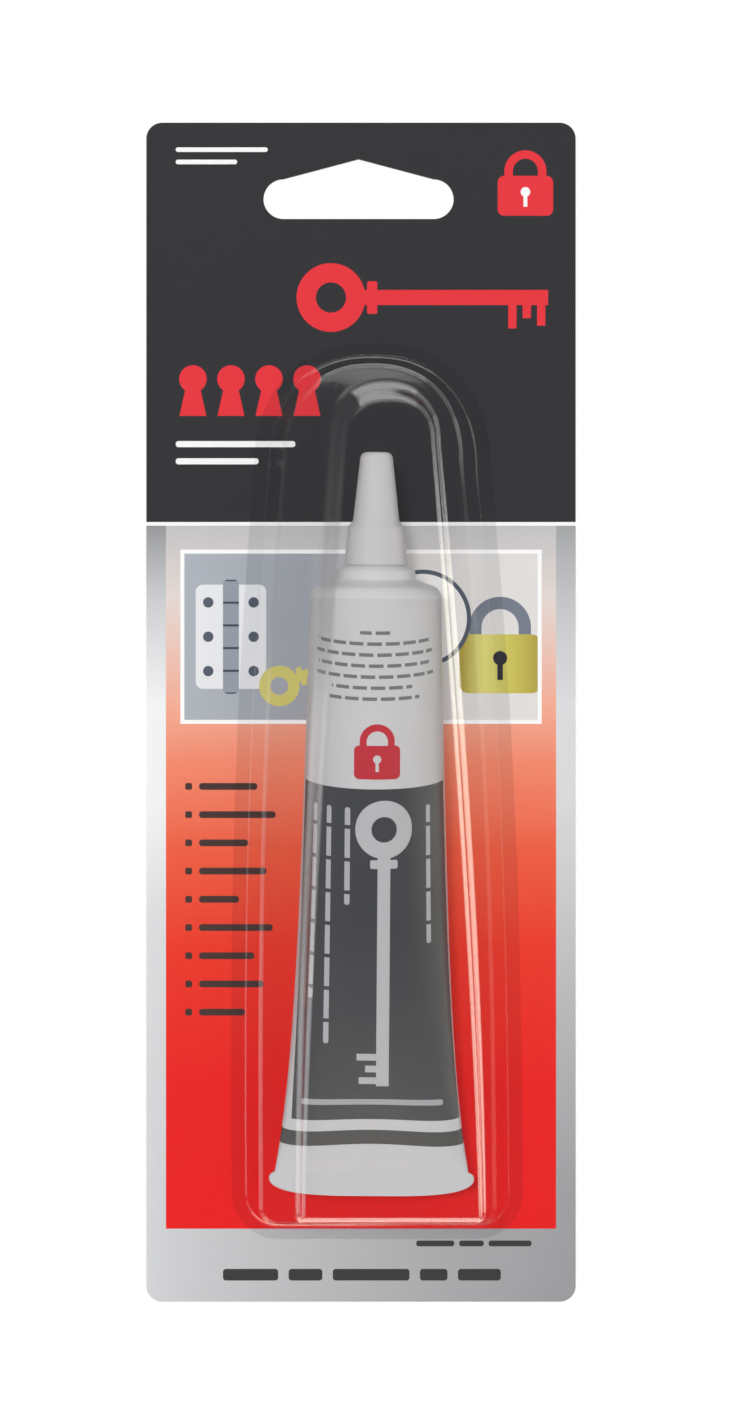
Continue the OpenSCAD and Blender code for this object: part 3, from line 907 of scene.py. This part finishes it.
def sleeve_shape(sizes, sides):
    """The sleeve's skin, and the print coordinates of its outer side.

    Rows run up the inside and down the outside, closer together towards the seal. The
    first print coordinate is the way around from the front's middle line, and the second
    the way down from the shoulder.
    """
    length = sizes.length
    s = 1 - (1 - np.linspace(0, 1, 81)) ** 1.6
    outer = sleeve_section(sleeve_half_width(s, sizes), sleeve_half_depth(s, sizes),
                           -s * length, sleeve_power(s), sides)
    # The inside ends a little above the seal
    inner_s = 0.965 * s[::-4]
    inner = sleeve_section(sleeve_half_width(inner_s, sizes) - sizes.wall,
                           sleeve_half_depth(inner_s, sizes) - sizes.wall,
                           -inner_s * length, sleeve_power(inner_s), sides)
    # The seal: an ear that swells at each side, and a smiling edge below the ears
    swell = np.array([0.08, 0.2, 0.4, 0.7, 1.0])
    smile = np.sin(np.linspace(0, math.pi / 2, 19)[1:])
    ear_share = 0.3
    half = sizes.seal_width / 2 * np.concatenate([
        1 - 2 * sizes.ear / sizes.seal_width * (1 - swell) ** 3.5,
        (1 - (0.99 * smile) ** 2) ** 0.25])
    down = np.concatenate([ear_share * swell, ear_share + (1 - ear_share) * smile])
    seal = sleeve_section(half, sizes.seal_thickness / 2 + 0 * down,
                          -length - down * sizes.seal_height, SEAL_POWER, sides)
    rows = np.concatenate([outer, seal])
    around = np.concatenate([rows, rows[:, :1]], 1)
    steps = np.linalg.norm(np.diff(around[..., :2], axis=1), axis=-1)
    way = np.concatenate([0 * steps[:, :1], np.cumsum(steps, 1)], 1)
    way = way - way[:, -1:] / 2
    maps = np.stack([way, -around[..., 2] + 0 * way], -1) / MAP_UNIT
    # The inside's coordinates lie off the print
    unprinted = np.full((len(inner) + 1,) + maps.shape[1:], -5.0)
    points = np.concatenate([inner.mean(1, keepdims=True)[:1] + 0 * inner[:1], inner,
                             rows, seal.mean(1, keepdims=True)[-1:] + 0 * seal[-1:]])
    return lay_on_tube(points), np.concatenate([unprinted, maps, maps[-1:]])


def sleeve_finish(sizes):
    """Satin white plastic with a dark printed panel and generic marks."""
    finish = Finish("printed_sleeve")
    coords, _ = finish.places()
    u, v = finish.map_places("print")
    # The print sags towards the front's middle line near the head
    turn = u / body_radius
    sag = (1 - turn.maths("COSINE")) * (1 - v / sizes.length).held() * 1.9 * MM
    # The flattened end carries the print in a shallow wave
    reach = (u * u / (15.5 * MM) ** 2).below(1.0)
    wave = reach * (1 - reach) * ((v - 70 * MM) / (16 * MM)).held() * -2.0 * MM
    v = v + sag + wave
    white = tuple(sizes.plastic)
    art = Artwork(finish, u, v, white)

    # The panel's left edge draws in towards the seal, and a white margin opens beside it
    margin = ((v - 36 * MM) / (46 * MM)).held() * 1.5 * MM
    side = abs(u - 0.05 * MM - margin / 2) - 14.65 * MM + margin / 2
    shade = finish.ramp((v / (86 * MM)).held(), [
        (0.0, srgb(74, 76, 80)), (0.6, srgb(70, 71, 75)), (1.0, srgb(88, 88, 90))])
    art.ink(finish.soft(side.above(abs(v - 56.65 * MM) - 26.65 * MM)), shade)
    art.ink(finish.soft(abs(v - 86.3 * MM) - 1.2 * MM), srgb(88, 87, 86))

    # One tall key down the middle, dashed rules beside it and one rule below it
    key = Artwork(finish, v - 54.8 * MM, u - 1.6 * MM)
    art.ink(key_shape(key, 46 * MM, 4.6 * MM), srgb(196, 197, 199))
    dashes = v.wrap(5.2 * MM).under(4.6 * MM)
    for place, length in ((-4.3, 15.5), (-7.6, 38.0), (-10.6, 31.0), (9.4, 22.0)):
        rule = art.box((place * MM, (33 + length / 2) * MM), (0.9 * MM, length * MM), 0.4 * MM)
        art.ink(rule * dashes, srgb(188, 189, 192))
    art.ink(art.box((0, 80.4 * MM), (23 * MM, 0.9 * MM), 0.4 * MM), srgb(180, 181, 184))

    # Pale grey broken rules above the panel, and a small red padlock
    for row, (start, end) in enumerate((
            (-2.5, 2.6), (-10.8, 10.2), (-11.2, 10.6), (-10.6, 9.8), (-11.0, 10.9),
            (-7.4, 6.2), (-8.4, 7.6))):
        rule = art.bar(start * MM, (5.4 + 1.73 * row) * MM, (end - start) * MM, 0.55 * MM,
                       0.25 * MM)
        words = (u + row * 1.3 * MM).wrap(2.9 * MM).under(2.3 * MM)
        art.ink(rule * words, srgb(122, 124, 126))
    upright = Artwork(finish, u, v * -1)
    body, shackle, hole = padlock_shape(upright, (0.4 * MM, -23.9 * MM), 8.6 * MM)
    art.ink(body.above(shackle), tuple(sizes.badge))
    art.ink(hole, white)

    cloud = finish.noise(coords, 160.0, 3.0)
    grain = finish.noise(coords, 4200.0, 2.0)
    return finish.done(finish.principled(
        Base_Color=finish.mix(cloud * 0.06, art.colour, (0.12, 0.12, 0.13)),
        Roughness=cloud * 0.14 + 0.34, IOR=1.5, Specular_IOR_Level=0.3,
        Subsurface_Weight=0.08, Subsurface_Radius=(0.6 * MM, 0.55 * MM, 0.5 * MM),
        Normal=finish.bump(cloud * 0.6 + grain * 0.05, 0.25, 0.12 * MM)))


class TUBEPACK_OT_sleeve(bpy.types.Operator):
    """Form and print the sleeve"""
    bl_idname = "tubepack.sleeve"
    bl_label = "Printed sleeve"

    def execute(self, context):
        pack = context.scene.tubepack
        points, maps = sleeve_shape(pack.sleeve, pack.detail)
        piece = grid_piece("printed_sleeve", points, maps, sharp=math.radians(60))
        dress(piece, sleeve_finish(pack.sleeve), "tube", "printed_sleeve", "tube_sleeve")
        return {"FINISHED"}


# The head and the cap

def plastic_finish(name, colour, glow):
    """Smooth moulded plastic with faint flow clouds and a soft sheen."""
    plastic = Finish(name)
    coords, _ = plastic.places()
    cloud = plastic.noise(coords, 220.0, 3.0)
    grain = plastic.noise(coords, 5200.0, 2.0)
    tone = plastic.mix(cloud * 0.12, tuple(colour), tuple(0.7 * c for c in colour))
    return plastic.done(plastic.principled(
        Base_Color=tone, Roughness=cloud * 0.12 + 0.36, IOR=1.5, Specular_IOR_Level=0.35,
        Subsurface_Weight=glow, Subsurface_Radius=(0.8 * MM, 0.75 * MM, 0.7 * MM),
        Normal=plastic.bump(cloud * 0.4 + grain * 0.06, 0.2, 0.08 * MM)))


# Walls of the head's shoulder and of the cap
SHOULDER_WALL = 1.2 * MM
CAP_WALL = 0.8 * MM

# Radii of the spout at its base and at its tip, of its passage and of the bore below it
SPOUT_BASE, SPOUT_TIP, PASSAGE, NECK_BORE = 2.5 * MM, 1.35 * MM, 0.7 * MM, 2.2 * MM

# The spout's tip ends this far below the cap's, and the cap's bore clears the neck by these
TIP_GAP, BORE_GAP, BORE_END_GAP = 1.4 * MM, 0.05 * MM, 0.6 * MM

# Radii that round the head's edges, the cap's edges and the cap's tip
HEAD_EDGE, CAP_EDGE, CAP_TIP = 0.45 * MM, 0.4 * MM, 1.1 * MM


def head_profile(sizes):
    """Half section of the head: up its outside, over the tip and down its bore."""
    edge = sizes.shoulder_edge
    collar_z = sizes.shoulder
    neck_z = collar_z + sizes.collar
    spout_z = neck_z + sizes.neck
    tip_z = neck_z + sizes.skirt + sizes.taper - TIP_GAP
    a = np.radians(np.linspace(0, 70, 13))
    shoulder = np.stack([body_radius - edge + edge * np.cos(a), edge * np.sin(a)], -1)
    upper = np.array([
        shoulder[-1], [sizes.collar_radius, collar_z],
        [sizes.collar_radius, neck_z - sizes.rim_fall],
        [sizes.skirt_mouth, neck_z], [sizes.neck_radius, neck_z],
        [sizes.neck_radius, spout_z], [SPOUT_BASE, spout_z], [SPOUT_TIP, tip_z],
        [PASSAGE, tip_z], [PASSAGE, spout_z], [NECK_BORE, neck_z],
        [NECK_BORE, collar_z - SHOULDER_WALL / 2], [body_radius - edge, edge - SHOULDER_WALL],
        [body_radius - SHOULDER_WALL, 0]])
    return np.concatenate([shoulder[:-1], soften(upper, HEAD_EDGE)])


def cap_profile(sizes):
    """Half section of the cap: out over its tip, down its side and up its bore."""
    length = sizes.skirt + sizes.taper
    bore = sizes.neck_radius + BORE_GAP
    bore_end = sizes.neck + BORE_END_GAP
    tip = soften(np.array([
        [0, length], [sizes.taper_tip - 0.1 * MM, length],
        [sizes.taper_base, sizes.skirt + 0.3 * MM]]), CAP_TIP, 9)[:-1]
    side = soften(np.array([
        tip[-1], [sizes.taper_base, sizes.skirt],
        [sizes.skirt_top, sizes.skirt - sizes.skirt_slope],
        [sizes.skirt_mouth, 0], [bore, 0], [bore, bore_end],
        [sizes.taper_base - CAP_WALL, bore_end],
        [sizes.taper_tip - CAP_WALL, length - CAP_WALL], [0, length - CAP_WALL]]),
        CAP_EDGE)[1:]
    return np.concatenate([tip, side]) + [0, sizes.shoulder + sizes.collar]


class TUBEPACK_OT_head(bpy.types.Operator):
    """Form the nozzle head"""
    bl_idname = "tubepack.head"
    bl_label = "Nozzle head"

    def execute(self, context):
        pack = context.scene.tubepack
        piece = grid_piece("spout_head", lathe(head_profile(pack.head), pack.detail),
                           closed_rows=True)
        finish = plastic_finish("head_plastic", pack.head.head_plastic, 0.08)
        dress(piece, finish, "tube", "head_plastic", "nozzle_head")
        return {"FINISHED"}


class TUBEPACK_OT_cap(bpy.types.Operator):
    """Form the cap"""
    bl_idname = "tubepack.cap"
    bl_label = "Cap"

    def execute(self, context):
        pack = context.scene.tubepack
        piece = grid_piece("push_cap", lathe(cap_profile(pack.head), pack.detail))
        finish = plastic_finish("cap_plastic", pack.head.cap_plastic, 0.12)
        dress(piece, finish, "tube_cap", "cap_plastic", "cap")
        return {"FINISHED"}


# The powder

def powder_finish():
    """Dark flaky powder with a dull metallic glint."""
    powder = Finish("graphite")
    coords, _ = powder.places()
    flake = powder.noise(coords, 6000.0, 4.0, 0.7)
    clump = powder.noise(coords, 500.0, 3.0)
    colour = powder.mix(flake, (0.018, 0.018, 0.02), (0.075, 0.075, 0.08))
    return powder.done(powder.principled(
        Base_Color=colour, Roughness=flake * 0.3 + 0.45, Metallic=clump * 0.5,
        Normal=powder.bump(flake + clump, 0.6, 0.15 * MM)))


class TUBEPACK_OT_powder(bpy.types.Operator):
    """Finish the powder"""
    bl_idname = "tubepack.powder"
    bl_label = "Graphite powder"

    def execute(self, context):
        refinish("graphite_powder", powder_finish())
        return {"FINISHED"}


# The stage

def add_camera(stage):
    """A camera square to the card, with the lens that its distance and view height need."""
    data = bpy.data.cameras.new("camera")
    data.sensor_fit = "VERTICAL"
    data.sensor_height = 24.0
    data.lens = data.sensor_height * stage.distance / stage.view_height
    data.clip_start = 0.01
    camera = bpy.data.objects.new("camera", data)
    camera.location = (card_middle_x + stage.view_shift, card_front_y - stage.distance,
                       stage.view_rise)
    camera.rotation_euler = (math.radians(90), 0, 0)
    bpy.context.scene.collection.objects.link(camera)
    bpy.context.scene.camera = camera


def add_lamp(name, place, target, size, power, mirrored=False, shadow=True, colour=WHITE):
    """A rectangular lamp that faces a target, and lights gloss alone or all but gloss."""
    data = bpy.data.lights.new(name, "AREA")
    data.shape = "RECTANGLE"
    data.size, data.size_y = size
    data.energy = power
    data.color = colour
    data.use_shadow = shadow
    lamp = bpy.data.objects.new(name, data)
    lamp.location = place
    lamp.rotation_euler = (Vector(target) - Vector(place)).to_track_quat("-Z", "Y").to_euler()
    lamp.visible_camera = False
    lamp.visible_glossy = mirrored
    lamp.visible_diffuse = not mirrored
    bpy.context.scene.collection.objects.link(lamp)


def add_panel(name, place, target, size, brightness, colour=WHITE):
    """A lamp for gloss alone: its power is pi times its area and brightness."""
    power = math.pi * size[0] * size[1] * brightness
    add_lamp(name, place, target, size, power, mirrored=True, colour=colour)


# The floor's radius, how far its rim sinks, and its thickness
FLOOR_RADIUS, RIM_DROP, FLOOR_THICKNESS = 0.42, 0.01, 0.004


def add_floor(stage):
    """A pale round floor that sinks by the fourth power of the way to its rim."""
    share = np.linspace(0, 1, 24)[:, None]
    radius = FLOOR_RADIUS * share
    angle = np.linspace(0, 2 * math.pi, 96, endpoint=False)
    points = np.stack([radius * np.cos(angle), radius * np.sin(angle),
                       stage.floor_level - RIM_DROP * share ** 4 + 0 * angle], -1)
    under = points[::-1] - [0, 0, FLOOR_THICKNESS]
    floor = grid_piece("floor", np.concatenate([points, under]))
    pale = Finish("floor_pale")
    coords, _ = pale.places()
    cloud = pale.noise(coords, 30.0, 2.0)
    surface = pale.principled(
        Base_Color=pale.mix(cloud * 0.1, (0.84, 0.84, 0.84), (0.78, 0.78, 0.78)),
        Roughness=0.7)
    floor.data.materials.append(pale.done(surface))


def add_sky(stage):
    """White all round for the eye, and even soft light on the pieces."""
    sky = Finish("studio", "World")
    path = sky.node("ShaderNodeLightPath").outputs
    eye = Level(sky, path["Is Camera Ray"]).above(path["Is Transmission Ray"])
    strength = sky.node("ShaderNodeMix", inputs={0: eye, 2: stage.sky, 3: 1.0}).outputs[0]
    light = sky.node("ShaderNodeBackground", inputs={"Color": WHITE, "Strength": strength})
    bpy.context.scene.world = sky.done(light.outputs[0])


class TUBEPACK_OT_stage(bpy.types.Operator):
    """Set up the camera, lamps, sky and floor"""
    bl_idname = "tubepack.stage"
    bl_label = "Stage"

    def execute(self, context):
        stage = context.scene.tubepack.stage
        middle = (card_middle_x, 0, stage.view_rise)
        add_camera(stage)
        add_sky(stage)
        add_floor(stage)
        for name, place, size, power, shadow in (
                ("key", (-0.12, -1.0, 0.02), (0.14, 0.14), stage.key, True),
                ("side_left", (-0.58, -0.83, 0.0), (0.4, 0.6), stage.side, False),
                ("side_right", (0.58, -0.83, 0.0), (0.4, 0.6), stage.side, False),
                ("over", (0.0, -0.5, 0.75), (0.5, 0.4), stage.over, False),
                ("back", (0.1, 1.0, 0.15), (0.3, 0.5), stage.back, True)):
            add_lamp(name, place, middle, size, power, shadow=shadow)

        # The panels beside the card stand one above another. The film's bends mirror them,
        # and the highest are the dimmest, because they shine over the dark header
        apart, depth, width, gloss = 0.42, 0.02, 0.64, stage.gloss
        for name, side, level, height, share, colour in (
                ("right_high", 1, 0.07, 0.16, 0.6, WHITE),
                ("right_low", 1, -0.125, 0.23, 1.2, WARM),
                ("left_high", -1, 0.045, 0.19, 0.016, WHITE),
                ("left_middle", -1, -0.095, 0.09, 0.36, WHITE),
                ("left_low", -1, -0.2, 0.12, 0.5, WHITE)):
            add_panel("panel_" + name, (side * apart, depth, level),
                      (card_middle_x, depth, level), (width, height), share * gloss, colour)
        # Four more stand over the card, high in front, at its upper right and below it
        for name, place, target, size, share, colour in (
                ("top", (0.0, -0.04, 0.36), middle, (0.5, 0.46), 0.8, WHITE),
                ("high", (-0.12, -0.85, 0.36), middle, (0.5, 0.24), 1.3, WHITE),
                ("corner", (0.34, 0.06, 0.28), middle, (0.44, 0.3), 0.4, WHITE),
                ("low", (0.0, 0.04, -0.285), (0.0, 0.04, -0.16), (0.3, 0.3), 1.1, WARM)):
            add_panel("panel_" + name, place, target, size, share * gloss, colour)
        context.scene.view_settings.view_transform = "Standard"
        return {"FINISHED"}


class TUBEPACK_PT_panel(bpy.types.Panel):
    """Lists the pieces of the carded tube"""
    bl_label = "Powder tube"
    bl_idname = "TUBEPACK_PT_panel"
    bl_space_type = "VIEW_3D"
    bl_region_type = "UI"
    bl_category = "Powder tube"

    def draw(self, context):
        for operator in PIECES:
            self.layout.operator(operator.bl_idname)


PIECES = (TUBEPACK_OT_stage, TUBEPACK_OT_card, TUBEPACK_OT_shell, TUBEPACK_OT_sleeve,
          TUBEPACK_OT_head, TUBEPACK_OT_cap, TUBEPACK_OT_powder)
CLASSES = (CardSettings, ShellSettings, SleeveSettings, HeadSettings, StageSettings,
           PackSettings, *PIECES, TUBEPACK_PT_panel)


def register():
    for kind in CLASSES:
        bpy.utils.register_class(kind)
    bpy.types.Scene.tubepack = PointerProperty(type=PackSettings)


def unregister():
    del bpy.types.Scene.tubepack
    for kind in reversed(CLASSES):
        bpy.utils.unregister_class(kind)


def main():
    register()
    bpy.ops.tubepack.stage()
    bpy.ops.tubepack.card()
    bpy.ops.tubepack.shell()
    bpy.ops.tubepack.sleeve()
    bpy.ops.tubepack.head()
    bpy.ops.tubepack.cap()
    bpy.ops.tubepack.powder()


if __name__ == "__main__":
    main()
